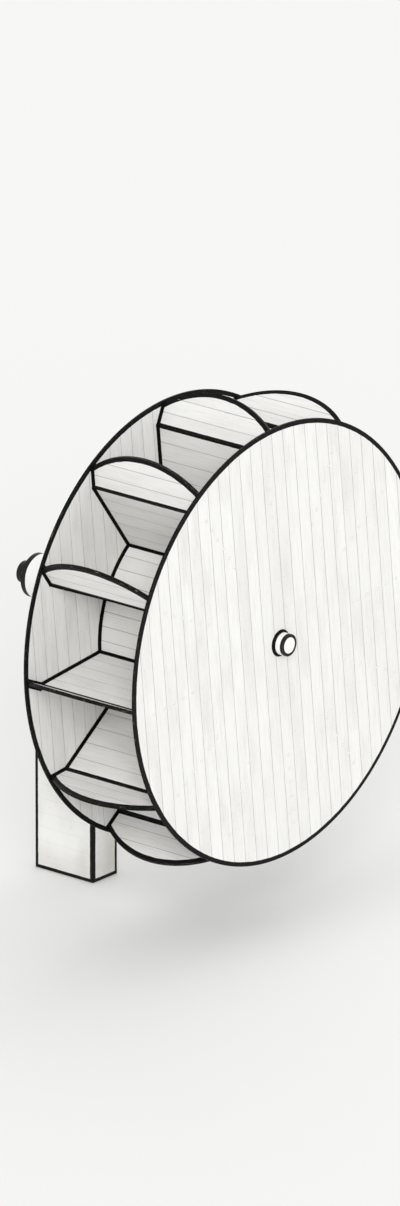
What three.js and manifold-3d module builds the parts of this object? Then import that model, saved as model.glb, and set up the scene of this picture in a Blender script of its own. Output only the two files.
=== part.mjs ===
// Water wheel that hangs out from a single post: two round discs with twelve bent paddles between them,
// on an axle that turns in a bearing barrel on top of the post.
// Millimetres. +Z is up, the axle lies along Y, and the wheel hangs out toward -Y.
// The origin is the centre of the post's foot.
import * as THREE from "three";
import { mergeVertices } from "three/addons/utils/BufferGeometryUtils.js";
import Module from "manifold-3d";

// Driving dimensions
const DISC_RADIUS = 3000;
const DISC_THICKNESS = 30;
const WIDTH_BETWEEN_DISCS = 1800;
const DRUM_RADIUS = 1500;
const DRUM_BOARD_THICKNESS = 50;
const PADDLE_COUNT = 12;
const PADDLE_THICKNESS = 50;
const FOLD_RADIUS = 2700; // where the flat of a paddle meets its lip
const LIP_BEND = THREE.MathUtils.degToRad(30);
const LIP_SIDE_LENGTH = 290; // along the discs; the lip is longer in its middle
const LIP_EDGE_RADIUS = 1500; // of the bowed outer edge
const WHEEL_TURN = THREE.MathUtils.degToRad(-6); // how far the first paddle stands from upright

const AXLE_RADIUS = 150;
const AXLE_HEIGHT = 4000;
const AXLE_FRONT_STUB = 150; // past the front disc
const AXLE_REAR_STUB = 200; // past the barrel
const BARREL_RADIUS = 300;
const BARREL_BORE_RADIUS = 200;
const BARREL_LENGTH = 1400;
const BUSH_LENGTH = 150;
const POST_WIDTH = 500; // across the axle
const POST_DEPTH = 1000; // along the axle
const WHEEL_TO_POST = 1140; // from the back disc's rear face to the post

const SEAT_GAP = 0.3; // between pieces that rest on each other
const DISC_SIDES = 96;
const ROUND_SIDES = 48; // of the axle, barrel, bushes and drum
const LIP_EDGE_SEGMENTS = 16;

// Places along the axle
const WHEEL_WIDTH = WIDTH_BETWEEN_DISCS + 2 * DISC_THICKNESS;
const WHEEL_CENTRE_Y = -(POST_DEPTH / 2 + WHEEL_TO_POST + WHEEL_WIDTH / 2);
const AXLE_FRONT_Y = WHEEL_CENTRE_Y - WHEEL_WIDTH / 2 - AXLE_FRONT_STUB;
const AXLE_REAR_Y = BARREL_LENGTH / 2 + AXLE_REAR_STUB;
const BOARD_WIDTH = WIDTH_BETWEEN_DISCS - 2 * SEAT_GAP; // of the paddles, lips and drum segments

// Materials
const paintedTimber = new THREE.MeshStandardMaterial({ color: 0xf1efe9, roughness: 0.7, metalness: 0 });
const drumTimber = new THREE.MeshStandardMaterial({ color: 0xe6e3db, roughness: 0.8, metalness: 0 });
const castIron = new THREE.MeshStandardMaterial({ color: 0xdedcd6, roughness: 0.55, metalness: 0.4 });
const axleSteel = new THREE.MeshStandardMaterial({ color: 0xc9c9c6, roughness: 0.35, metalness: 0.9 });
const bronze = new THREE.MeshStandardMaterial({ color: 0xb08d57, roughness: 0.4, metalness: 0.9 });
const concrete = new THREE.MeshStandardMaterial({ color: 0xe9e8e4, roughness: 0.9, metalness: 0 });

// The radius whose polygon of so many sides has its flats, not its corners, at the radius given.
function cornerRadius(flatRadius, sides) {
  return flatRadius / Math.cos(Math.PI / sides);
}

// A ring or a rod about the Y axis, centred on the origin; the bore's flats keep the inner radius clear.
function ring(innerRadius, outerRadius, length, sides) {
  const inner = cornerRadius(innerRadius, sides);
  const half = length / 2;
  const profile = [
    new THREE.Vector2(inner, -half),
    new THREE.Vector2(outerRadius, -half),
    new THREE.Vector2(outerRadius, half),
    new THREE.Vector2(inner, half),
    new THREE.Vector2(inner, -half),
  ];
  return new THREE.LatheGeometry(profile, sides);
}

function rod(radius, length, sides) {
  return new THREE.CylinderGeometry(radius, radius, length, sides);
}

// A profile drawn in X and Z, drawn out along the axle and centred on it.
function extrudeAlongAxle(profile, length) {
  const geometry = new THREE.ExtrudeGeometry(profile, { depth: length, bevelEnabled: false });
  return geometry.rotateX(Math.PI / 2).translate(0, length / 2, 0);
}

// Boolean cuts
const wasm = await Module();
wasm.setup();

function solidFrom(geometry) {
  const plain = geometry.clone();
  plain.deleteAttribute("normal");
  plain.deleteAttribute("uv");
  const merged = mergeVertices(plain);
  const mesh = new wasm.Mesh({
    numProp: 3,
    vertProperties: merged.attributes.position.array,
    triVerts: new Uint32Array(merged.index.array),
  });
  return new wasm.Manifold(mesh);
}

function geometryFrom(solid) {
  const mesh = solid.getMesh();
  const geometry = new THREE.BufferGeometry();
  geometry.setAttribute("position", new THREE.BufferAttribute(mesh.vertProperties, 3));
  geometry.setIndex(new THREE.BufferAttribute(mesh.triVerts, 1));
  geometry.computeVertexNormals();
  return geometry;
}

// The post rises from the ground to a hollowed seat under the barrel, which comes a little way up its sides.
function makePost() {
  const halfWidth = POST_WIDTH / 2;
  const topZ = AXLE_HEIGHT - Math.sqrt(BARREL_RADIUS ** 2 - halfWidth ** 2);
  const block = new THREE.BoxGeometry(POST_WIDTH, POST_DEPTH, topZ).translate(0, 0, topZ / 2);
  const seat = rod(BARREL_RADIUS + SEAT_GAP, BARREL_LENGTH, ROUND_SIDES).translate(0, 0, AXLE_HEIGHT);
  return geometryFrom(solidFrom(block).subtract(solidFrom(seat)));
}

// A curved board between two paddles, with its ends in the middle of the flats that they stand on.
function makeDrumSegment() {
  const sidesPerSegment = ROUND_SIDES / PADDLE_COUNT;
  const side = (2 * Math.PI) / ROUND_SIDES;
  const span = sidesPerSegment * side;
  const endGap = SEAT_GAP / 2 / DRUM_RADIUS;
  const corners = Array.from({ length: sidesPerSegment }, (_, i) => (i + 0.5) * side);
  const angles = [endGap, ...corners, span - endGap];
  const arcOf = (flatRadius) =>
    angles.map((angle, i) => {
      const isEnd = i === 0 || i === angles.length - 1;
      const radius = isEnd ? flatRadius : cornerRadius(flatRadius, ROUND_SIDES);
      return new THREE.Vector2(radius * Math.sin(angle), radius * Math.cos(angle));
    });
  const outer = arcOf(DRUM_RADIUS);
  const inner = arcOf(DRUM_RADIUS - DRUM_BOARD_THICKNESS);
  return extrudeAlongAxle(new THREE.Shape([...outer, ...inner.reverse()]), BOARD_WIDTH);
}

// The flat of a paddle stands on the drum and ends in a mitre at the fold.
function makePaddle() {
  const half = PADDLE_THICKNESS / 2;
  const foot = DRUM_RADIUS + SEAT_GAP;
  const mitre = half * Math.tan(LIP_BEND / 2);
  const top = FOLD_RADIUS - SEAT_GAP / 2;
  const profile = new THREE.Shape([
    new THREE.Vector2(-half, foot),
    new THREE.Vector2(half, foot),
    new THREE.Vector2(half, top - mitre),
    new THREE.Vector2(-half, top + mitre),
  ]);
  return extrudeAlongAxle(profile, BOARD_WIDTH);
}

// The lip lies in its own Y and Z, with its thickness along X and the fold at Z = 0. Its outer edge is bowed.
function makeLip() {
  const halfWidth = BOARD_WIDTH / 2;
  const halfChord = Math.asin(halfWidth / LIP_EDGE_RADIUS);
  const edgeCentre = LIP_SIDE_LENGTH - LIP_EDGE_RADIUS * Math.cos(halfChord);
  const outline = new THREE.Shape();
  outline.moveTo(-halfWidth, 0);
  outline.lineTo(halfWidth, 0);
  outline.absarc(0, edgeCentre, LIP_EDGE_RADIUS, Math.PI / 2 - halfChord, Math.PI / 2 + halfChord, false);
  const geometry = new THREE.ExtrudeGeometry(outline, {
    depth: PADDLE_THICKNESS,
    bevelEnabled: false,
    curveSegments: LIP_EDGE_SEGMENTS,
  });
  geometry.translate(0, 0, -PADDLE_THICKNESS / 2).rotateX(Math.PI / 2).rotateZ(Math.PI / 2);
  mitreFoldEdge(geometry);
  return geometry;
}

// Slants the edge at the fold to half the bend, so that it meets the mitre of the flat.
function mitreFoldEdge(geometry) {
  const position = geometry.attributes.position;
  const slope = Math.tan(LIP_BEND / 2);
  const nearFold = LIP_SIDE_LENGTH / 2;
  for (let i = 0; i < position.count; i += 1) {
    if (position.getZ(i) < nearFold) {
      position.setZ(i, position.getX(i) * slope + SEAT_GAP / 2);
    }
  }
  geometry.computeVertexNormals();
}

function addPiece(group, name, geometry, material) {
  const mesh = new THREE.Mesh(geometry, material);
  mesh.name = name;
  group.add(mesh);
  return mesh;
}

// Stand: the post, the barrel on it and the two bushes in the barrel's ends
function makeStand() {
  const stand = new THREE.Group();
  addPiece(stand, "post", makePost(), concrete);
  const barrel = ring(BARREL_BORE_RADIUS, BARREL_RADIUS, BARREL_LENGTH, ROUND_SIDES);
  addPiece(stand, "bearing_barrel", barrel, castIron).position.z = AXLE_HEIGHT;
  for (const [name, side] of [["front_bush", -1], ["rear_bush", 1]]) {
    const outerRadius = BARREL_BORE_RADIUS - SEAT_GAP;
    const bush = ring(AXLE_RADIUS + SEAT_GAP, outerRadius, BUSH_LENGTH, ROUND_SIDES);
    const y = (side * (BARREL_LENGTH - BUSH_LENGTH)) / 2;
    addPiece(stand, name, bush, bronze).position.set(0, y, AXLE_HEIGHT);
  }
  return stand;
}

// One bay of the wheel: a paddle with its lip, and the drum segment on the side that the lip leans away from
function makeBay(number) {
  const label = String(number).padStart(2, "0");
  const bay = new THREE.Group();
  addPiece(bay, `paddle_${label}`, makePaddle(), paintedTimber);
  const lip = addPiece(bay, `paddle_lip_${label}`, makeLip(), paintedTimber);
  lip.position.z = FOLD_RADIUS;
  lip.rotation.y = LIP_BEND;
  const segment = addPiece(bay, `drum_segment_${label}`, makeDrumSegment(), drumTimber);
  segment.rotation.y = -(2 * Math.PI) / PADDLE_COUNT;
  return bay;
}

// Wheel: everything that turns, built upright about the axle and turned as one
function makeWheel() {
  const wheel = new THREE.Group();
  wheel.position.set(0, WHEEL_CENTRE_Y, AXLE_HEIGHT);
  wheel.rotation.y = WHEEL_TURN;
  const axle = addPiece(wheel, "axle", rod(AXLE_RADIUS, AXLE_REAR_Y - AXLE_FRONT_Y, ROUND_SIDES), axleSteel);
  axle.position.y = (AXLE_FRONT_Y + AXLE_REAR_Y) / 2 - WHEEL_CENTRE_Y;
  for (const [name, side] of [["front_disc", -1], ["back_disc", 1]]) {
    const disc = ring(AXLE_RADIUS + SEAT_GAP, DISC_RADIUS, DISC_THICKNESS, DISC_SIDES);
    addPiece(wheel, name, disc, paintedTimber).position.y = (side * (WIDTH_BETWEEN_DISCS + DISC_THICKNESS)) / 2;
  }
  for (let i = 0; i < PADDLE_COUNT; i += 1) {
    const bay = makeBay(i + 1);
    bay.rotation.y = (-2 * Math.PI * i) / PADDLE_COUNT;
    wheel.add(bay);
  }
  return wheel;
}

const waterWheel = new THREE.Group();
waterWheel.add(makeStand(), makeWheel());

export default waterWheel;
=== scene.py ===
from contextlib import contextmanager
import math

import bmesh
import bpy
import numpy as np
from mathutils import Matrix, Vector


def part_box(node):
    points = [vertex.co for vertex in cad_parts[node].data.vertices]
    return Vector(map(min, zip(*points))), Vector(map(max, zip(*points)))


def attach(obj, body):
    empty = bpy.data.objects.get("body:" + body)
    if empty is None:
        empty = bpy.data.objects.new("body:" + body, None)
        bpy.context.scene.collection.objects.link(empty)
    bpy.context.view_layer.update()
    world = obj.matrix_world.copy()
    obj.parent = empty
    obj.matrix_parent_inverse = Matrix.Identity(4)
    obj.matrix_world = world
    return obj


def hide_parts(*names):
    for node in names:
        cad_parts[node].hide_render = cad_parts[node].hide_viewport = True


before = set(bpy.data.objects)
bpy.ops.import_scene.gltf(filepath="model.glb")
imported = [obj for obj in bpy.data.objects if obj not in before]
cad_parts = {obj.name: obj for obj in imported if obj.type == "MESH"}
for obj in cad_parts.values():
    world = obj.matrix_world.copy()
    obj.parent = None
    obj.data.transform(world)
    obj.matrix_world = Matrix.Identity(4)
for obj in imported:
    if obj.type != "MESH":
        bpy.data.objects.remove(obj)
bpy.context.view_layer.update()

# Driving sizes
DISC_RADIUS = 3.0
DRUM_RADIUS = 1.5
DRUM_WALL = 0.05
PADDLE_COUNT = 12
PADDLE_THICKNESS = 0.05
FOLD_RADIUS = 2.7  # from the axle to the fold between a paddle and its lip
LIP_BEND = math.radians(30)
LIP_SIDE = 0.29  # of the lip beside a disc, from the fold to its bowed edge
LIP_BOW_RADIUS = 1.5
FIRST_PADDLE_LEAN = math.radians(6)
BAY = 2 * math.pi / PADDLE_COUNT
AXLE_RADIUS = 0.15
BARREL_RADIUS = 0.3
BARREL_BORE_RADIUS = 0.2
SEAT_GAP = 0.0003  # between pieces that stand on one another

# Boards
DISC_PLANKS = 27
PADDLE_PLANKS = 5
LIP_PLANKS = 3
STAVES_PER_SEGMENT = 4
BOARD_JOINT = 0.002

# Eased edges
BOARD_ARRIS = 0.0022
AXLE_ARRIS = 0.005
BARREL_ARRIS = 0.006
BUSH_ARRIS = 0.003
POST_ARRIS = 0.012

# Sides of the rounds
DISC_SIDES = 160  # also of the lips' bows; no corner then falls close to a saw cut
BORE_SIDES = 48
ROUND_SIDES = 96
SIDES_PER_STAVE = 6
DRUM_SIDES = SIDES_PER_STAVE * STAVES_PER_SEGMENT * PADDLE_COUNT
BORE_RADIUS = (AXLE_RADIUS + SEAT_GAP) / math.cos(math.pi / BORE_SIDES)  # its flats clear the axle

# Places along the axle, from the frame
front_disc_low, front_disc_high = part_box("front_disc")
back_disc_low, back_disc_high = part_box("back_disc")
axle_low, axle_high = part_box("axle")
barrel_low, barrel_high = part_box("bearing_barrel")
post_low, post_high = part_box("post")
paddle_low, paddle_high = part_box("paddle_01")
AXLE_HEIGHT = (axle_low.z + axle_high.z) / 2
WHEEL_CENTRE = Vector((0, (front_disc_low.y + back_disc_high.y) / 2, AXLE_HEIGHT))
BOARD_HALF = (paddle_high.y - paddle_low.y) / 2
LIP_BOW_CENTRE = LIP_SIDE - math.sqrt(LIP_BOW_RADIUS ** 2 - BOARD_HALF ** 2)  # past the fold, along the lip
DISC_THICKNESS = front_disc_high.y - front_disc_low.y
ALONG = Vector((0, 1, 0))
UP = Vector((0, 0, 1))


# Modelling steps

SHARP_EDGE = math.radians(30)  # edges sharper than this are rounded
SHARPEST_SMOOTH = math.radians(50)  # and edges up to this are shaded smooth
WELD = 1e-6  # vertices this close are one
END_FACING = 0.99  # how nearly the normal of a face at an end lies along the axle
END_GRAIN_FACING = 0.8  # and that of a face that shows end grain along the grain


def take(*pieces):
    """Leaves only these pieces selected, with the first one active."""
    bpy.ops.object.select_all(action="DESELECT")
    for piece in pieces:
        piece.select_set(True)
    bpy.context.view_layer.objects.active = pieces[0]


def discard(piece):
    bpy.data.objects.remove(piece, do_unlink=True)


def settle(*pieces):
    """Puts the pieces' place and turn into their meshes."""
    take(*pieces)
    bpy.ops.object.transform_apply(location=True, rotation=True, scale=True)


def start(name, primitive, **settings):
    """Adds a primitive at its size and place, with its turn already in its mesh."""
    bpy.ops.object.select_all(action="DESELECT")
    primitive(**settings)
    piece = bpy.context.active_object
    piece.name = piece.data.name = name
    settle(piece)
    return piece


def start_round(name, radius, low_y, high_y, height=0.0, sides=ROUND_SIDES, turn=0.0):
    """Adds a round bar that lies along the axle."""
    return start(
        name, bpy.ops.mesh.primitive_cylinder_add, vertices=sides, radius=radius, depth=high_y - low_y,
        location=(0, (low_y + high_y) / 2, height), rotation=(math.pi / 2, turn, 0),
    )


def copy_of(piece, name):
    """A copy with its own mesh."""
    twin = piece.copy()
    twin.data = piece.data.copy()
    twin.name = twin.data.name = name
    bpy.context.scene.collection.objects.link(twin)
    return twin


def join(pieces, name):
    """Makes one piece of several."""
    take(*pieces)
    bpy.ops.object.join()
    pieces[0].name = pieces[0].data.name = name
    return pieces[0]


@contextmanager
def edit_mode(piece):
    """Edit mode on one piece, with all of it selected at first."""
    take(piece)
    bpy.ops.object.mode_set(mode="EDIT")
    bpy.ops.mesh.select_all(action="SELECT")
    yield
    bpy.ops.object.mode_set(mode="OBJECT")


def pick_faces(piece, wanted):
    """In edit mode, selects the faces whose normal passes the test."""
    bpy.ops.mesh.select_mode(type="FACE")
    bpy.ops.mesh.select_all(action="DESELECT")
    mesh = bmesh.from_edit_mesh(piece.data)
    mesh.normal_update()
    for face in mesh.faces:
        face.select_set(wanted(face.normal))
    bmesh.update_edit_mesh(piece.data)


def at_end(normal):
    """Whether a face is an end of a piece that lies along the axle."""
    return abs(normal.y) > END_FACING


def inset(width, rise=0.0):
    """In edit mode, draws in each picked face by this width and lifts it by the rise."""
    bpy.ops.mesh.inset(thickness=width, depth=rise, use_individual=True, use_even_offset=True)


def start_tube(name, inner, outer, low_y, high_y, height=0.0, sides=ROUND_SIDES):
    """Adds a tube that lies along the axle, bored right through."""
    tube = start_round(name, outer, low_y, high_y, height, sides)
    with edit_mode(tube):
        pick_faces(tube, at_end)
        inset(outer - inner)
        bpy.ops.mesh.bridge_edge_loops()
    return tube


def saw(piece, place, normal):
    """Cuts away what lies on the side that the normal points to, and closes the cut."""
    with edit_mode(piece):
        bpy.ops.mesh.bisect(plane_co=place, plane_no=normal, use_fill=True, clear_outer=True)


def saw_into_boards(piece, across, cuts):
    """Saws a piece into boards, with a narrow joint at each cut but the first and the last."""
    name = piece.name
    boards = []
    for low, high in zip(cuts, cuts[1:]):
        board = copy_of(piece, name + "_board")
        if low != cuts[0]:
            saw(board, across * (low + BOARD_JOINT / 2), -across)
        if high != cuts[-1]:
            saw(board, across * (high - BOARD_JOINT / 2), across)
        boards.append(board)
    discard(piece)
    return join(boards, name)


def cut_away(piece, cutter):
    """Cuts the cutter's shape out of the piece."""
    take(piece)
    hollow = piece.modifiers.new("hollow", "BOOLEAN")
    hollow.operation = "DIFFERENCE"
    hollow.solver = "EXACT"
    hollow.object = cutter
    bpy.ops.object.modifier_apply(modifier=hollow.name)
    discard(cutter)


def round_edges(piece, width, segments):
    """Rounds every sharp edge a little."""
    take(piece)
    bevel = piece.modifiers.new("arrises", "BEVEL")
    bevel.limit_method = "ANGLE"
    bevel.angle_limit = SHARP_EDGE
    bevel.width = width
    bevel.segments = segments
    bevel.use_clamp_overlap = True
    bpy.ops.object.modifier_apply(modifier=bevel.name)
    with edit_mode(piece):
        bpy.ops.mesh.dissolve_degenerate(threshold=WELD)


def shade(piece):
    """Shades the rounds smooth and the flats flat."""
    take(piece)
    bpy.ops.object.shade_smooth_by_angle(angle=SHARPEST_SMOOTH)
    flats = piece.modifiers.new("flats", "WEIGHTED_NORMAL")
    flats.keep_sharp = True
    bpy.ops.object.modifier_apply(modifier=flats.name)


def ease_arrises(piece, width=BOARD_ARRIS, segments=2):
    round_edges(piece, width, segments)
    shade(piece)


def vertex_places(piece):
    places = np.empty(len(piece.data.vertices) * 3)
    piece.data.vertices.foreach_get("co", places)
    return places.reshape(-1, 3)


def note_on_vertices(piece, name, values):
    piece.data.attributes.new(name, "FLOAT", "POINT").data.foreach_set("value", values)


def note_board_sides(piece, across, cuts):
    """Writes on each vertex how far it lies from either side of its own board; across is its place there."""
    pitch = cuts[1] - cuts[0]
    board = np.floor((across - cuts[0]) / pitch).clip(0, len(cuts) - 2)
    from_low = across - cuts[0] - board * pitch
    note_on_vertices(piece, "from_low_side", from_low)
    note_on_vertices(piece, "from_high_side", pitch - from_low)


def lay_grain(piece, grain):
    """Gives the piece a map in metres whose U runs along the grain of its boards."""
    layer = piece.data.uv_layers.new(name="Grain")
    vertices = piece.data.vertices
    for face in piece.data.polygons:
        end_grain = abs(face.normal.dot(grain)) > END_GRAIN_FACING
        first = face.normal.orthogonal().normalized() if end_grain else grain
        second = face.normal.cross(first).normalized()
        for corner in face.loop_indices:
            place = vertices[piece.data.loops[corner].vertex_index].co
            layer.uv[corner].vector = (place.dot(first), place.dot(second))


def set_in_wheel(piece, turn):
    """Turns a piece that was modelled upright about the axle and moves it to the wheel's place."""
    piece.rotation_euler = (0, -turn, 0)
    piece.location = WHEEL_CENTRE
    settle(piece)


def paint(piece, material):
    piece.data.materials.clear()
    piece.data.materials.append(material)


def finish_piece(piece, body, slot, *nodes):
    """Sets a piece on its body and hides the CAD nodes that it stands for. The slot is not used."""
    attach(piece, body)
    if nodes:
        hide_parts(*nodes)


# Shader building steps

def add_node(tree, kind, inputs=None, **settings):
    """Adds a shader node, and sets or wires its inputs."""
    made = tree.nodes.new(kind)
    for name, value in settings.items():
        setattr(made, name, value)
    for socket, value in (inputs or {}).items():
        if isinstance(value, bpy.types.NodeSocket):
            tree.links.new(value, made.inputs[socket])
        else:
            made.inputs[socket].default_value = value
    return made


def new_material(name):
    material = bpy.data.materials.new(name)
    material.use_nodes = True
    tree = material.node_tree
    tree.nodes.clear()
    shader = add_node(tree, "ShaderNodeBsdfPrincipled")
    output = add_node(tree, "ShaderNodeOutputMaterial")
    tree.links.new(shader.outputs[0], output.inputs[0])
    return material, tree, shader


def wire_up(tree, shader, colour, rough, height, relief, depth):
    """Wires a finish's colour, roughness and relief to its shader; the relief's depth is in metres."""
    bump = add_node(tree, "ShaderNodeBump", {"Height": height, "Strength": relief, "Distance": depth})
    tree.links.new(colour, shader.inputs["Base Color"])
    tree.links.new(rough, shader.inputs["Roughness"])
    tree.links.new(bump.outputs[0], shader.inputs["Normal"])


def object_place(tree):
    return add_node(tree, "ShaderNodeTexCoord").outputs["Object"]


def split(tree, vector):
    return add_node(tree, "ShaderNodeSeparateXYZ", {0: vector}).outputs


def noted(tree, name):
    """What note_on_vertices wrote under this name."""
    return add_node(tree, "ShaderNodeAttribute", attribute_name=name).outputs["Fac"]


def calc(tree, operation, first, second=0.0, third=0.0):
    return add_node(tree, "ShaderNodeMath", {0: first, 1: second, 2: third}, operation=operation).outputs[0]


def vary(tree, value, base, spread):
    """The base, and more of the spread the higher the value."""
    return calc(tree, "MULTIPLY_ADD", value, spread, base)


def step_up(tree, value, span):
    """0 below the span and 1 above it, with a soft step between."""
    low, high = span
    ends = {"Value": value, "From Min": low, "From Max": high}
    return add_node(tree, "ShaderNodeMapRange", ends, interpolation_type="SMOOTHSTEP").outputs[0]


def step_down(tree, value, span):
    """1 below the span and 0 above it."""
    return calc(tree, "SUBTRACT", 1.0, step_up(tree, value, span))


MIX_FIRST, MIX_SECOND, MIXED = 6, 7, 2  # the Mix node's own sockets for colours


def blend_colours(tree, share, first, second):
    inputs = {"Factor": share, MIX_FIRST: first, MIX_SECOND: second}
    return add_node(tree, "ShaderNodeMix", inputs, data_type="RGBA").outputs[MIXED]


def stain(tree, colour, mask, share, other):
    """A colour with a share of another one where the mask is 1."""
    return blend_colours(tree, calc(tree, "MULTIPLY", mask, share), colour, other)


def noise(tree, place, stretch, detail=3.0, roughness=0.5):
    """Noise whose features are as long as one over the stretch, in metres."""
    scaled = add_node(tree, "ShaderNodeMapping", {"Vector": place, "Scale": stretch}).outputs[0]
    settings = {"Vector": scaled, "Scale": 1.0, "Detail": detail, "Roughness": roughness}
    return add_node(tree, "ShaderNodeTexNoise", settings).outputs["Fac"]


# Where a place lies

WHOLE_TURNS = 4 * math.pi  # added to an angle, so that it isn't negative when it is split into bays


def reach(tree, across, up):
    """How far a place is from where both of these are nothing."""
    squares = calc(tree, "POWER", across, 2.0), calc(tree, "POWER", up, 2.0)
    return calc(tree, "SQRT", calc(tree, "ADD", *squares))


def apart(tree, value, other):
    return calc(tree, "ABSOLUTE", calc(tree, "SUBTRACT", value, other))


def outside(tree, value, half_width):
    """How far a place lies outside a board of this half width, on either side of it."""
    return calc(tree, "SUBTRACT", calc(tree, "ABSOLUTE", value), half_width)


def from_axle(tree, x, z):
    """How far a place is from the axle's line."""
    return reach(tree, x, calc(tree, "SUBTRACT", z, AXLE_HEIGHT))


def wheel_place(tree):
    """Metres from the wheel's centre across it, along the axle and up, with the first paddle upright."""
    settings = {0: object_place(tree), 1: WHEEL_CENTRE}
    centred = add_node(tree, "ShaderNodeVectorMath", settings, operation="SUBTRACT").outputs[0]
    lean = {"Vector": centred, "Angle": FIRST_PADDLE_LEAN}
    return split(tree, add_node(tree, "ShaderNodeVectorRotate", lean, rotation_type="Y_AXIS").outputs[0])


def paddle_place(tree, across, up):
    """Metres beside the nearest paddle and out from the axle, and beside its lip and past the fold."""
    turned = calc(tree, "ADD", calc(tree, "ARCTAN2", across, up), BAY / 2 + WHOLE_TURNS)
    lean = calc(tree, "SUBTRACT", calc(tree, "MODULO", turned, BAY), BAY / 2)
    radius = reach(tree, across, up)
    beside = calc(tree, "MULTIPLY", radius, calc(tree, "SINE", lean))
    out = calc(tree, "MULTIPLY", radius, calc(tree, "COSINE", lean))
    past_fold = calc(tree, "SUBTRACT", out, FOLD_RADIUS)
    sine, cosine = math.sin(LIP_BEND), math.cos(LIP_BEND)
    beside_lip = calc(tree, "MULTIPLY_ADD", beside, cosine, calc(tree, "MULTIPLY", past_fold, -sine))
    along_lip = calc(tree, "MULTIPLY_ADD", beside, sine, calc(tree, "MULTIPLY", past_fold, cosine))
    return beside, out, beside_lip, along_lip


# Painted lines: each function gives 0 at an edge and 1 at the far side of the line beside it

INNER_LINE = 0.034  # beside an edge where two boards meet
OUTER_LINE = 0.062  # along an edge that stands free
POST_LINE = 0.052
BARREL_LINE = 0.080
BARREL_END_LINE = 0.060
AXLE_END_LINE = 0.041
AXLE_REAR_LINE = 0.110


def beside_circle(tree, radius, circle, width):
    """For a line along a circle, at a place with this radius."""
    return calc(tree, "DIVIDE", apart(tree, radius, circle), width)


def beside_edge(tree, first, second, width):
    """For a line along an edge, at a place this far from each of the two faces that meet there."""
    return calc(tree, "DIVIDE", reach(tree, first, second), width)


def beside_board(tree, sideways, along, low, high):
    """For a line round the edge of an upright board that ends on this face."""
    end = outside(tree, calc(tree, "SUBTRACT", along, (low + high) / 2), (high - low) / 2)
    side = outside(tree, sideways, PADDLE_THICKNESS / 2)
    return calc(tree, "DIVIDE", calc(tree, "MAXIMUM", side, end), INNER_LINE)


def nearest(tree, lines):
    line = lines[0]
    for other in lines[1:]:
        line = calc(tree, "MINIMUM", line, other)
    return line


def disc_lines(tree):
    """Lines along the rim and the bore on a disc's outer face."""
    across, _, up = wheel_place(tree)
    radius = reach(tree, across, up)
    rim = beside_circle(tree, radius, DISC_RADIUS, OUTER_LINE)
    return calc(tree, "MINIMUM", rim, beside_circle(tree, radius, AXLE_RADIUS, INNER_LINE))


def disc_inner_lines(tree):
    """As disc_lines, and also round the paddles, lips and drum that stand on the disc's inner face."""
    across, _, up = wheel_place(tree)
    beside, out, beside_lip, along_lip = paddle_place(tree, across, up)
    return nearest(tree, [
        disc_lines(tree),
        beside_board(tree, beside, out, DRUM_RADIUS, FOLD_RADIUS),
        beside_board(tree, beside_lip, along_lip, 0.0, LIP_SIDE),
        beside_circle(tree, reach(tree, across, up), DRUM_RADIUS, INNER_LINE),
    ])


def board_lines(tree):
    """Lines along the edges of the paddles, lips and drum, where they meet the discs and one another."""
    across, along, up = wheel_place(tree)
    beside, out, beside_lip, along_lip = paddle_place(tree, across, up)
    paddle_face = outside(tree, beside, PADDLE_THICKNESS / 2)
    lip_face = outside(tree, beside_lip, PADDLE_THICKNESS / 2)
    drum_face = calc(tree, "SUBTRACT", reach(tree, across, up), DRUM_RADIUS)
    disc_face = outside(tree, along, BOARD_HALF)
    mitre = calc(tree, "MULTIPLY", calc(tree, "SUBTRACT", out, FOLD_RADIUS), math.cos(LIP_BEND / 2))
    mitre = calc(tree, "MULTIPLY_ADD", beside, math.sin(LIP_BEND / 2), mitre)
    from_bow = reach(tree, along, calc(tree, "SUBTRACT", along_lip, LIP_BOW_CENTRE))
    edges = (
        (paddle_face, drum_face), (paddle_face, disc_face), (lip_face, disc_face), (drum_face, disc_face),
    )
    return nearest(tree, [
        *(beside_edge(tree, first, second, INNER_LINE) for first, second in edges),
        beside_circle(tree, mitre, 0.0, INNER_LINE),
        beside_circle(tree, from_bow, LIP_BOW_RADIUS, OUTER_LINE),
    ])


def round_lines(*rings):
    """Lines round the axle or barrel; a ring is its radius and place, and its widths on side and end."""
    def lines(tree):
        x, y, z = split(tree, object_place(tree))
        out = from_axle(tree, x, z)
        return nearest(tree, [
            reach(tree, beside_circle(tree, y, place, on_side), beside_circle(tree, out, radius, on_end))
            for radius, place, on_side, on_end in rings
        ])
    return lines


def post_lines(tree):
    """Lines down the post's corners, round its foot and along the edges of the barrel's seat."""
    x, y, z = split(tree, object_place(tree))
    side = outside(tree, x, post_high.x)
    end = outside(tree, y, post_high.y)
    seat = calc(tree, "SUBTRACT", from_axle(tree, x, z), BARREL_RADIUS)
    edges = ((side, end), (side, z), (end, z), (side, seat), (end, seat))
    return nearest(tree, [beside_edge(tree, first, second, POST_LINE) for first, second in edges])


# Paint and its wear; a span is where a mark sets in on its noise, from none to full

WHITE = (0.87, 0.868, 0.855, 1)
WORN_WHITE = (0.765, 0.758, 0.735, 1)
GREYED_WHITE = (0.63, 0.625, 0.60, 1)
BLACK = (0.004, 0.004, 0.0045, 1)
WORN_BLACK = (0.014, 0.0135, 0.0125, 1)
RUSTED_IRON = (0.16, 0.08, 0.045, 1)
BRUSH_WANDER = (9, 9, 9)
BRUSH_WANDER_SHARE = 0.2
LINE_END_SPAN = (0.96, 1.04)
EDGE_WEAR = 0.12


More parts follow.
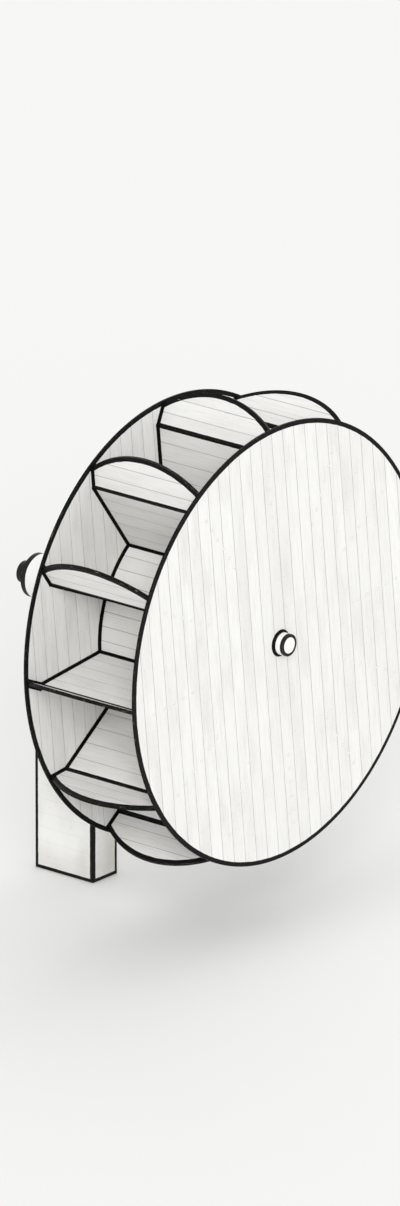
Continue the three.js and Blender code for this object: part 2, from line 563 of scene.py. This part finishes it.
def paint_lines(tree, line, place, white, dark):
    """Lays dark paint over white along the edges; it is brushed by hand, so it wanders a little."""
    wander = calc(tree, "SUBTRACT", noise(tree, place, BRUSH_WANDER), 0.5)
    brushed = calc(tree, "ADD", line, calc(tree, "MULTIPLY", wander, BRUSH_WANDER_SHARE))
    return blend_colours(tree, step_down(tree, brushed, LINE_END_SPAN), white, dark)


def worn_at_edges(tree, marks, line, edge_span):
    """Marks of wear, stronger beside the edges."""
    return calc(tree, "ADD", marks, calc(tree, "MULTIPLY", step_down(tree, line, edge_span), EDGE_WEAR))


# Painted boards; each noise has its stretch along the grain, across it and from board to board

JOINT_DIRT = (0.22, 0.20, 0.17, 1)
BARE_TIMBER = (0.30, 0.22, 0.14, 1)
WEATHERED_TIMBER = (0.18, 0.125, 0.08, 1)
TONE_STEP = 7.31  # sets the tones of one piece's boards apart
GRAIN_LAYERS = 40.0  # sets their grain apart
PAINT_PATCHES = (0.9, 3.0, 1.0)
BRUSH_MARKS = (2.2, 55.0, 1.0)
FIBRES = (9.0, 320.0, 1.0)
PAINT_FLAKES = (14.0, 60.0, 1.0)
DIRT_PATCHES = (2.5, 12.0, 1.0)
PATCH_SPAN = (0.4, 0.75)
BRUSH_MARK_SPAN = (0.45, 0.8)
FIBRE_SPAN = (0.5, 0.8)
WORN_BLACK_SPAN = (0.4, 0.8)
RUST_SPAN = (0.45, 0.6)
FLAKE_SPAN = (0.73, 0.76)
FLAKED_EDGE_SPAN = (0.04, 0.4)  # in widths of the painted line
DIRT_SPAN = (0.002, 0.0065)  # metres from a board's side
TONE_SHARE = 0.45
BRUSH_MARK_SHARE = 0.6
FIBRE_SHARE = 0.5
RUST_SHARE = 0.6
LEAST_DIRT = 0.1
BRUSH_MARK_RELIEF = 0.6
FIBRE_RELIEF = 0.4
FLAKE_RELIEF = 0.5
BARE_ROUGHNESS = 0.85
NAIL_SPREAD = 0.055  # from a plank's middle to the nails in it
NAIL_SPAN = (0.0035, 0.005)  # from the flat of a nail's head to its edge


def grain_place(tree):
    """Metres along and across the grain, and a third number that differs from board to board."""
    along, across, _ = split(tree, add_node(tree, "ShaderNodeUVMap", uv_map="Grain").outputs[0])
    board = add_node(tree, "ShaderNodeNewGeometry").outputs["Random Per Island"]
    piece = add_node(tree, "ShaderNodeObjectInfo").outputs["Random"]
    tone = calc(tree, "FRACT", calc(tree, "ADD", calc(tree, "MULTIPLY", board, TONE_STEP), piece))
    layer = calc(tree, "MULTIPLY", tone, GRAIN_LAYERS)
    return add_node(tree, "ShaderNodeCombineXYZ", {0: along, 1: across, 2: layer}).outputs[0], tone


def joint_dirt(tree, place):
    """How much dirt has gathered beside the joints between boards."""
    from_side = calc(tree, "MINIMUM", noted(tree, "from_low_side"), noted(tree, "from_high_side"))
    patches = vary(tree, noise(tree, place, DIRT_PATCHES, detail=4.0), LEAST_DIRT, 1 - LEAST_DIRT)
    return calc(tree, "MULTIPLY", step_down(tree, from_side, DIRT_SPAN), patches)


def from_plank_middle(tree, place):
    """Metres from the middle of the disc plank at this place across the disc."""
    pitch = 2 * DISC_RADIUS / DISC_PLANKS
    planks = calc(tree, "MULTIPLY_ADD", place, 1 / pitch, DISC_PLANKS / 2)
    return calc(tree, "MULTIPLY", calc(tree, "SUBTRACT", calc(tree, "FRACT", planks), 0.5), pitch)


def disc_nails(tree):
    """1 at the nails that hold the two layers of planks together, two at each crossing, and 0 elsewhere."""
    across, _, up = wheel_place(tree)
    sideways = outside(tree, from_plank_middle(tree, across), NAIL_SPREAD)
    return step_down(tree, reach(tree, sideways, from_plank_middle(tree, up)), NAIL_SPAN)


def board_white(tree, place, tone, patches, brush_marks, fibres):
    """White paint, worn in patches, greyed along brush marks and fibres, and dirty beside the joints."""
    white = blend_colours(tree, step_up(tree, patches, PATCH_SPAN), WHITE, WORN_WHITE)
    white = stain(tree, white, tone, TONE_SHARE, WORN_WHITE)
    white = stain(tree, white, step_up(tree, brush_marks, BRUSH_MARK_SPAN), BRUSH_MARK_SHARE, GREYED_WHITE)
    white = stain(tree, white, step_up(tree, fibres, FIBRE_SPAN), FIBRE_SHARE, GREYED_WHITE)
    return blend_colours(tree, joint_dirt(tree, place), white, JOINT_DIRT)


def painted_timber(name, line_of, nails_of=None):
    """White painted boards with dark lines along their edges. Grain and brush marks run along each board."""
    material, tree, shader = new_material(name)
    place, tone = grain_place(tree)
    line = line_of(tree)
    patches = noise(tree, place, PAINT_PATCHES, detail=4.0)
    brush_marks = noise(tree, place, BRUSH_MARKS, detail=5.0, roughness=0.6)
    fibres = noise(tree, place, FIBRES, detail=4.0, roughness=0.65)
    flakes = worn_at_edges(
        tree, noise(tree, place, PAINT_FLAKES, detail=6.0, roughness=0.7), line, FLAKED_EDGE_SPAN
    )
    flaked = step_up(tree, flakes, FLAKE_SPAN)

    height = calc(tree, "MULTIPLY", fibres, FIBRE_RELIEF)
    height = calc(tree, "MULTIPLY_ADD", brush_marks, BRUSH_MARK_RELIEF, height)
    height = calc(tree, "SUBTRACT", height, calc(tree, "MULTIPLY", flaked, FLAKE_RELIEF))
    white = board_white(tree, place, tone, patches, brush_marks, fibres)
    if nails_of is not None:
        nails = nails_of(tree)
        rusted = calc(tree, "MULTIPLY", nails, step_up(tree, patches, RUST_SPAN))
        white = stain(tree, white, rusted, RUST_SHARE, RUSTED_IRON)
        height = calc(tree, "SUBTRACT", height, nails)
    dark = blend_colours(tree, step_up(tree, brush_marks, WORN_BLACK_SPAN), BLACK, WORN_BLACK)
    timber = blend_colours(tree, brush_marks, BARE_TIMBER, WEATHERED_TIMBER)
    colour = blend_colours(tree, flaked, paint_lines(tree, line, place, white, dark), timber)

    rough = vary(tree, brush_marks, base=0.38, spread=0.25)
    rough = calc(tree, "MAXIMUM", rough, calc(tree, "MULTIPLY", flaked, BARE_ROUGHNESS))
    shader.inputs["Specular IOR Level"].default_value = 0.08
    wire_up(tree, shader, colour, rough, height, relief=0.55, depth=0.0015)
    return material


# Enamelled metal

ENAMEL_PATCHES = (2, 2, 2)
ORANGE_PEEL = (140, 140, 140)
ENAMEL_CHIPS = (35, 35, 35)
ENAMEL_PATCH_SPAN = (0.4, 0.75)
BOLT_PATCH_SPAN = (0.1, 0.45)
CHIP_SPAN = (0.74, 0.76)
CHIPPED_EDGE_SPAN = (0.04, 0.3)  # in widths of the painted line
PEEL_RELIEF = 0.3
CHIP_RELIEF = 0.5


def painted_metal(name, roughness, line_of=None, patch_span=ENAMEL_PATCH_SPAN):
    """White enamel on metal: a little orange peel, faint handling marks, and dark paint along the edges."""
    material, tree, shader = new_material(name)
    place = object_place(tree)
    patches = noise(tree, place, ENAMEL_PATCHES, detail=5.0)
    peel = noise(tree, place, ORANGE_PEEL, detail=2.0)
    chips = noise(tree, place, ENAMEL_CHIPS, detail=5.0, roughness=0.7)
    colour = blend_colours(tree, step_up(tree, patches, patch_span), WHITE, WORN_WHITE)
    if line_of is not None:
        line = line_of(tree)
        colour = paint_lines(tree, line, place, colour, blend_colours(tree, patches, BLACK, WORN_BLACK))
        chips = worn_at_edges(tree, chips, line, CHIPPED_EDGE_SPAN)
    chipped = step_up(tree, chips, CHIP_SPAN)
    colour = blend_colours(tree, chipped, colour, RUSTED_IRON)
    height = calc(tree, "MULTIPLY", peel, PEEL_RELIEF)
    height = calc(tree, "SUBTRACT", height, calc(tree, "MULTIPLY", chipped, CHIP_RELIEF))
    shader.inputs["Specular IOR Level"].default_value = 0.2
    rough = vary(tree, patches, base=roughness, spread=0.2)
    wire_up(tree, shader, colour, rough, height, relief=0.4, depth=0.001)
    return material


# Bronze

BRONZE = (0.50, 0.33, 0.15, 1)
TARNISHED_BRONZE = (0.30, 0.20, 0.10, 1)
TARNISH = (6, 6, 6)
TURNING_PITCH = 0.0015


def machined_bronze(name):
    """Machined bronze, tarnished in patches, with fine turning marks round the bore."""
    material, tree, shader = new_material(name)
    place = object_place(tree)
    tarnish = noise(tree, place, TARNISH, detail=4.0)
    x, _, z = split(tree, place)
    turning = calc(tree, "SINE", calc(tree, "MULTIPLY", from_axle(tree, x, z), 2 * math.pi / TURNING_PITCH))
    colour = blend_colours(tree, tarnish, BRONZE, TARNISHED_BRONZE)
    shader.inputs["Metallic"].default_value = 1.0
    rough = vary(tree, tarnish, base=0.25, spread=0.25)
    wire_up(tree, shader, colour, rough, turning, relief=0.15, depth=0.0003)
    return material


# Painted concrete

WORN_MASONRY = (0.72, 0.71, 0.67, 1)
SEAM_SHADE = (0.45, 0.44, 0.41, 1)
PORE_SHADE = (0.35, 0.34, 0.32, 1)
SPLASHED_FOOT = (0.42, 0.40, 0.35, 1)
FORM_BOARD = 0.2  # width of the boards that the post was cast in
MASONRY_PATCHES = (1.3, 1.3, 0.7)
SAND = (160, 160, 160)
PORES = (45, 45, 45)
FORM_GRAIN = (1.5, 1.5, 70)
MASONRY_PATCH_SPAN = (0.4, 0.7)
SEAM_SPAN = (0.485, 0.5)  # from the middle of a form board, in board widths
PORE_SPAN = (0.24, 0.29)
SPLASH_SPAN = (-0.2, 0.35)
SPLASH_WANDER = -0.5
SEAM_SHARE = 0.35
PORE_SHARE = 0.5
SPLASH_SHARE = 0.3
FORM_GRAIN_RELIEF = 0.5
SAND_RELIEF = 0.25
PORE_RELIEF = 0.8


def form_seams(tree, height_up):
    """1 along the seams between the form boards and 0 away from them."""
    boards = calc(tree, "FRACT", calc(tree, "MULTIPLY", height_up, 1 / FORM_BOARD))
    return step_up(tree, apart(tree, boards, 0.5), SEAM_SPAN)


def masonry_white(tree, patches, seam, pore, height_up):
    """White masonry paint, worn in patches, darker in seams and pores, and splashed at the foot."""
    white = blend_colours(tree, step_up(tree, patches, MASONRY_PATCH_SPAN), WHITE, WORN_MASONRY)
    white = stain(tree, white, seam, SEAM_SHARE, SEAM_SHADE)
    white = stain(tree, white, pore, PORE_SHARE, PORE_SHADE)
    splashed = step_down(tree, calc(tree, "MULTIPLY_ADD", patches, SPLASH_WANDER, height_up), SPLASH_SPAN)
    return stain(tree, white, splashed, SPLASH_SHARE, SPLASHED_FOOT)


def painted_masonry(name, line_of):
    """White masonry paint over board-marked concrete, with dark painted corners."""
    material, tree, shader = new_material(name)
    place = object_place(tree)
    patches = noise(tree, place, MASONRY_PATCHES, detail=5.0)
    sand = noise(tree, place, SAND, detail=3.0)
    form_grain = noise(tree, place, FORM_GRAIN, detail=4.0, roughness=0.6)
    pore = step_down(tree, noise(tree, place, PORES, detail=2.0), PORE_SPAN)
    height_up = split(tree, place)[2]
    seam = form_seams(tree, height_up)
    white = masonry_white(tree, patches, seam, pore, height_up)
    colour = paint_lines(tree, line_of(tree), place, white, blend_colours(tree, patches, BLACK, WORN_BLACK))
    height = calc(tree, "MULTIPLY", sand, SAND_RELIEF)
    height = calc(tree, "MULTIPLY_ADD", form_grain, FORM_GRAIN_RELIEF, height)
    height = calc(tree, "SUBTRACT", height, calc(tree, "MULTIPLY_ADD", pore, PORE_RELIEF, seam))
    shader.inputs["Specular IOR Level"].default_value = 0.12
    rough = vary(tree, sand, base=0.72, spread=0.15)
    wire_up(tree, shader, colour, rough, height, relief=0.6, depth=0.002)
    return material


# The finishes of this wheel

board_paint = painted_timber("board_paint", board_lines)
disc_outside_paint = painted_timber("disc_outside_paint", disc_lines, disc_nails)
disc_inside_paint = painted_timber("disc_inside_paint", disc_inner_lines, disc_nails)
axle_enamel = painted_metal("axle_enamel", roughness=0.35, line_of=round_lines(
    (AXLE_RADIUS, axle_low.y, AXLE_END_LINE, AXLE_END_LINE),
    (AXLE_RADIUS, front_disc_low.y, INNER_LINE, INNER_LINE),
    (AXLE_RADIUS, back_disc_high.y, INNER_LINE, INNER_LINE),
    (AXLE_RADIUS, axle_high.y, AXLE_REAR_LINE, AXLE_END_LINE),
))
barrel_enamel = painted_metal("barrel_enamel", roughness=0.45, line_of=round_lines(
    (BARREL_RADIUS, barrel_low.y, BARREL_LINE, BARREL_END_LINE),
    (BARREL_RADIUS, barrel_high.y, BARREL_LINE, BARREL_END_LINE),
))
bolt_enamel = painted_metal("bolt_enamel", roughness=0.65, patch_span=BOLT_PATCH_SPAN)
bush_bronze = machined_bronze("bush_bronze")
post_paint = painted_masonry("post_paint", post_lines)


# Discs

def make_disc_layer(name, near, far, across, material):
    """One layer of a disc, from near to far along the axle, of planks laid side by side."""
    layer = start_round(name, DISC_RADIUS, near, far, sides=DISC_SIDES, turn=math.pi / DISC_SIDES)
    cuts = np.linspace(-DISC_RADIUS, DISC_RADIUS, DISC_PLANKS + 1).tolist()
    layer = saw_into_boards(layer, across, cuts)
    ends = near - DISC_THICKNESS, far + DISC_THICKNESS
    cut_away(layer, start_round(name + "_bore", BORE_RADIUS, *ends, sides=BORE_SIDES))
    ease_arrises(layer, segments=1)
    note_board_sides(layer, vertex_places(layer) @ across, cuts)
    lay_grain(layer, across.cross(ALONG))
    paint(layer, material)
    return layer


def make_disc(name, node, low_y, near_material, far_material):
    """Two crossed layers of planks, like the end of a cable drum."""
    near = low_y - WHEEL_CENTRE.y
    middle = near + DISC_THICKNESS / 2
    upright = make_disc_layer(name, near, middle, Vector((1, 0, 0)), near_material)
    level = make_disc_layer(name + "_cross", middle, near + DISC_THICKNESS, UP, far_material)
    disc = join([upright, level], name)
    set_in_wheel(disc, FIRST_PADDLE_LEAN)
    finish_piece(disc, "wheel", "painted_timber", node)


make_disc("front_disc_planks", "front_disc", front_disc_low.y, disc_outside_paint, disc_inside_paint)
make_disc("back_disc_planks", "back_disc", back_disc_low.y, disc_inside_paint, disc_outside_paint)


# Paddles, lips and drum

def make_paddle():
    """The upright board of one paddle, standing on the drum and mitred at the fold."""
    half = PADDLE_THICKNESS / 2
    foot, fold = DRUM_RADIUS + SEAT_GAP, FOLD_RADIUS - SEAT_GAP / 2
    board = start(
        "paddle", bpy.ops.mesh.primitive_cube_add, size=1, location=(0, 0, (foot + fold) / 2 + half),
        scale=(PADDLE_THICKNESS, 2 * BOARD_HALF, fold - foot + 2 * half),
    )
    saw(board, (0, 0, fold), Vector((math.sin(LIP_BEND / 2), 0, math.cos(LIP_BEND / 2))))
    cuts = np.linspace(foot - half, fold + half, PADDLE_PLANKS + 1).tolist()
    board = saw_into_boards(board, UP, cuts)
    ease_arrises(board)
    note_board_sides(board, vertex_places(board) @ UP, cuts)
    lay_grain(board, ALONG)
    return board


def make_lip():
    """The lip of one paddle: flat boards with a bowed outer edge, leaning from the fold."""
    half = PADDLE_THICKNESS / 2
    lip = start(
        "lip", bpy.ops.mesh.primitive_cylinder_add, vertices=DISC_SIDES, radius=LIP_BOW_RADIUS,
        depth=PADDLE_THICKNESS, location=(0, 0, LIP_BOW_CENTRE), rotation=(0, math.pi / 2, 0),
    )
    for side in (-1, 1):
        saw(lip, ALONG * side * BOARD_HALF, ALONG * side)
    saw(lip, (0, 0, SEAT_GAP / 2), Vector((math.sin(LIP_BEND / 2), 0, -math.cos(LIP_BEND / 2))))
    cuts = np.linspace(-half, LIP_BOW_CENTRE + LIP_BOW_RADIUS, LIP_PLANKS + 1).tolist()
    lip = saw_into_boards(lip, UP, cuts)
    ease_arrises(lip)
    note_board_sides(lip, vertex_places(lip) @ UP, cuts)
    lay_grain(lip, ALONG)
    lip.rotation_euler = (0, LIP_BEND, 0)
    lip.location = (0, 0, FOLD_RADIUS)
    settle(lip)
    return lip


def way_out(turn):
    """Straight out from the axle, at a turn from the first paddle."""
    return Vector((-math.sin(turn), 0, math.cos(turn)))


def way_round(turn):
    """Round the wheel at that place."""
    return Vector((-math.cos(turn), 0, -math.sin(turn)))


def make_staves():
    """Curved staves from one paddle's foot to the next, sawn from the whole drum's wall."""
    inside = DRUM_RADIUS - DRUM_WALL
    wall = start_tube("staves", inside, DRUM_RADIUS, -BOARD_HALF, BOARD_HALF, sides=DRUM_SIDES)
    turns = np.linspace(0, BAY, STAVES_PER_SEGMENT + 1)
    staves = []
    for low, high in zip(turns, turns[1:]):
        stave = copy_of(wall, "staves_stave")
        for inward in (way_round(low), -way_round(high)):
            saw(stave, inward * BOARD_JOINT / 2, -inward)
        staves.append(stave)
    discard(wall)
    staves = join(staves, "staves")
    ease_arrises(staves)
    places = vertex_places(staves)
    round_drum = np.arctan2(-places[:, 0], places[:, 2]) * DRUM_RADIUS
    note_board_sides(staves, round_drum, turns * DRUM_RADIUS)
    lay_grain(staves, ALONG)
    return staves


def make_bays():
    """A paddle, a lip and a stretch of drum for each bay, copied from one model of each."""
    models = (
        (make_paddle(), "paddle_planks_", "paddle_"),
        (make_lip(), "lip_planks_", "paddle_lip_"),
        (make_staves(), "drum_staves_", "drum_segment_"),
    )
    for number in range(PADDLE_COUNT):
        label = f"{number + 1:02d}"
        for model, name, node in models:
            piece = copy_of(model, name + label)
            set_in_wheel(piece, FIRST_PADDLE_LEAN + number * BAY)
            paint(piece, board_paint)
            finish_piece(piece, "wheel", "painted_timber", node + label)
    for model, _, _ in models:
        discard(model)


make_bays()


# Axle, barrel and bushes

ROUND_SEGMENTS = 3  # across an eased edge
CENTRE_MARK = 0.012  # its radius where it opens
CENTRE_MARK_TIP = 0.0012  # and at its point
CENTRE_MARK_DEPTH = 0.014


def make_axle():
    """A turned shaft with eased ends and a lathe's centre mark in each."""
    shaft = start_round("axle_shaft", AXLE_RADIUS, axle_low.y, axle_high.y, AXLE_HEIGHT)
    round_edges(shaft, AXLE_ARRIS, ROUND_SEGMENTS)
    with edit_mode(shaft):
        pick_faces(shaft, at_end)
        inset(AXLE_RADIUS - AXLE_ARRIS - CENTRE_MARK)
        inset(CENTRE_MARK - CENTRE_MARK_TIP, rise=-CENTRE_MARK_DEPTH)
    shade(shaft)
    paint(shaft, axle_enamel)
    finish_piece(shaft, "wheel", "painted_steel", "axle")


def make_barrel():
    ends = barrel_low.y, barrel_high.y
    barrel = start_tube("barrel_casting", BARREL_BORE_RADIUS, BARREL_RADIUS, *ends, AXLE_HEIGHT)
    ease_arrises(barrel, BARREL_ARRIS, ROUND_SEGMENTS)
    paint(barrel, barrel_enamel)
    finish_piece(barrel, "stand", "painted_iron", "bearing_barrel")


def make_bush(name, node):
    low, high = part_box(node)
    inner, outer = AXLE_RADIUS + SEAT_GAP, BARREL_BORE_RADIUS - SEAT_GAP
    bush = start_tube(name, inner, outer, low.y, high.y, AXLE_HEIGHT)
    ease_arrises(bush, BUSH_ARRIS)
    paint(bush, bush_bronze)
    finish_piece(bush, "stand", "bronze", node)


make_axle()
make_barrel()
make_bush("bush_ring_front", "front_bush")
make_bush("bush_ring_rear", "rear_bush")


# Post

def make_post():
    """A cast post with eased corners and a seat under the barrel."""
    size = post_high - post_low
    middle = (post_low + post_high) / 2
    post = start("post_block", bpy.ops.mesh.primitive_cube_add, size=1, location=middle, scale=size)
    round_edges(post, POST_ARRIS, ROUND_SEGMENTS)
    cut_away(post, start_round("seat", BARREL_RADIUS + SEAT_GAP, -size.y, size.y, AXLE_HEIGHT, DISC_SIDES))
    shade(post)
    paint(post, post_paint)
    finish_piece(post, "stand", "painted_concrete", "post")


make_post()


# Bolts

BOLT_RADIUS = 0.016
WASHER_RADIUS = 0.026
WASHER_THICKNESS = 0.004
BOLT_HEIGHT = 0.009
BOLT_SIDES = 12
DOME_STEPS = ((0.5, 0.08), (0.35, 0.26), (0.15, 0.36))  # each in shares of the head's height and radius
PADDLE_BOLTS = 6
BOLT_MARGIN = 0.11  # from a paddle's foot and fold to the nearest bolt


def make_bolt_head():
    """The domed head of a coach bolt on its round washer, standing on a face that looks along +Y."""
    head = start_round("bolt_head", WASHER_RADIUS, 0, WASHER_THICKNESS, sides=BOLT_SIDES)
    with edit_mode(head):
        pick_faces(head, lambda normal: normal.y > END_FACING)
        inset(WASHER_RADIUS - BOLT_RADIUS)
        for height_share, radius_share in DOME_STEPS:
            inset(BOLT_RADIUS * radius_share, rise=BOLT_HEIGHT * height_share)
    bpy.ops.object.shade_smooth_by_angle(angle=SHARPEST_SMOOTH)
    return head


def make_disc_bolts(name, face_y, side):
    """Bolts through a disc into the edge of each paddle, in a row along it."""
    head = make_bolt_head()
    heights = np.linspace(DRUM_RADIUS + BOLT_MARGIN, FOLD_RADIUS - BOLT_MARGIN, PADDLE_BOLTS).tolist()
    seat = ALONG * (face_y + side * SEAT_GAP - WHEEL_CENTRE.y)
    heads = []
    for number in range(PADDLE_COUNT):
        for height in heights:
            bolt = copy_of(head, name)
            bolt.rotation_euler = (0, 0, 0) if side > 0 else (0, 0, math.pi)
            bolt.location = way_out(number * BAY) * height + seat
            heads.append(bolt)
    discard(head)
    settle(*heads)
    bolts = join(heads, name)
    set_in_wheel(bolts, FIRST_PADDLE_LEAN)
    paint(bolts, bolt_enamel)
    finish_piece(bolts, "wheel", "painted_steel")


make_disc_bolts("front_disc_bolts", front_disc_low.y, -1)
make_disc_bolts("back_disc_bolts", back_disc_high.y, 1)


# Floor, light and camera

FLOOR_SIZE = 600
FLOOR_GREY = (0.81, 0.81, 0.80, 1)
SKY_WHITE = (1.0, 1.0, 1.0, 1)
SKY_STRENGTH = 0.87
CAMERA_AZIMUTH = math.radians(-50.34)
CAMERA_ELEVATION = math.radians(19.57)
CAMERA_DISTANCE = 218.8  # far off, with a long lens, because the reference is drawn without perspective
LENS_MM = 500.0
DISC_CENTRE_RIGHT = 1.0528  # of the picture's middle, in metres at the front disc
DISC_CENTRE_BELOW = 0.5213


def make_floor():
    floor = start("studio_floor", bpy.ops.mesh.primitive_plane_add, size=FLOOR_SIZE)
    material, _, shader = new_material("pale_floor")
    shader.inputs["Base Color"].default_value = FLOOR_GREY
    shader.inputs["Roughness"].default_value = 0.9
    shader.inputs["Specular IOR Level"].default_value = 0.0
    paint(floor, material)


def make_sky():
    """Plain white light from all round."""
    sky = bpy.data.worlds.new("studio")
    sky.use_nodes = True
    background = sky.node_tree.nodes["Background"]
    background.inputs["Color"].default_value = SKY_WHITE
    background.inputs["Strength"].default_value = SKY_STRENGTH
    bpy.context.scene.world = sky
    bpy.context.scene.view_settings.view_transform = "Standard"


def make_sun(name, toward, spread, strength):
    """A broad soft light from far off, so that the floor is lit evenly."""
    lamp = bpy.data.objects.new(name, bpy.data.lights.new(name, "SUN"))
    lamp.data.angle = spread
    lamp.data.energy = strength
    lamp.rotation_euler = Vector(toward).to_track_quat("Z", "Y").to_euler()
    bpy.context.scene.collection.objects.link(lamp)


def make_camera():
    """Looks at the wheel from the reference's side and height."""
    back = Vector((
        math.sin(CAMERA_AZIMUTH) * math.cos(CAMERA_ELEVATION),
        -math.cos(CAMERA_AZIMUTH) * math.cos(CAMERA_ELEVATION),
        math.sin(CAMERA_ELEVATION),
    ))
    camera = bpy.data.objects.new("camera", bpy.data.cameras.new("camera"))
    bpy.context.scene.collection.objects.link(camera)
    bpy.context.scene.camera = camera
    turn = (-back).to_track_quat("-Z", "Y")
    camera.rotation_mode = "QUATERNION"
    camera.rotation_quaternion = turn
    right, up = turn @ Vector((1, 0, 0)), turn @ Vector((0, 1, 0))
    disc_centre = Vector((0, front_disc_low.y, AXLE_HEIGHT))
    aim = disc_centre - right * DISC_CENTRE_RIGHT + up * DISC_CENTRE_BELOW
    camera.location = aim + back * CAMERA_DISTANCE
    camera.data.lens = LENS_MM
    camera.data.clip_end = CAMERA_DISTANCE + FLOOR_SIZE


make_camera()
make_floor()
make_sky()
make_sun("key_light", toward=(-0.72, -0.66, 0.50), spread=math.radians(25), strength=1.3)
make_sun("side_light", toward=(0.85, 0.35, 0.55), spread=math.radians(60), strength=0.55)
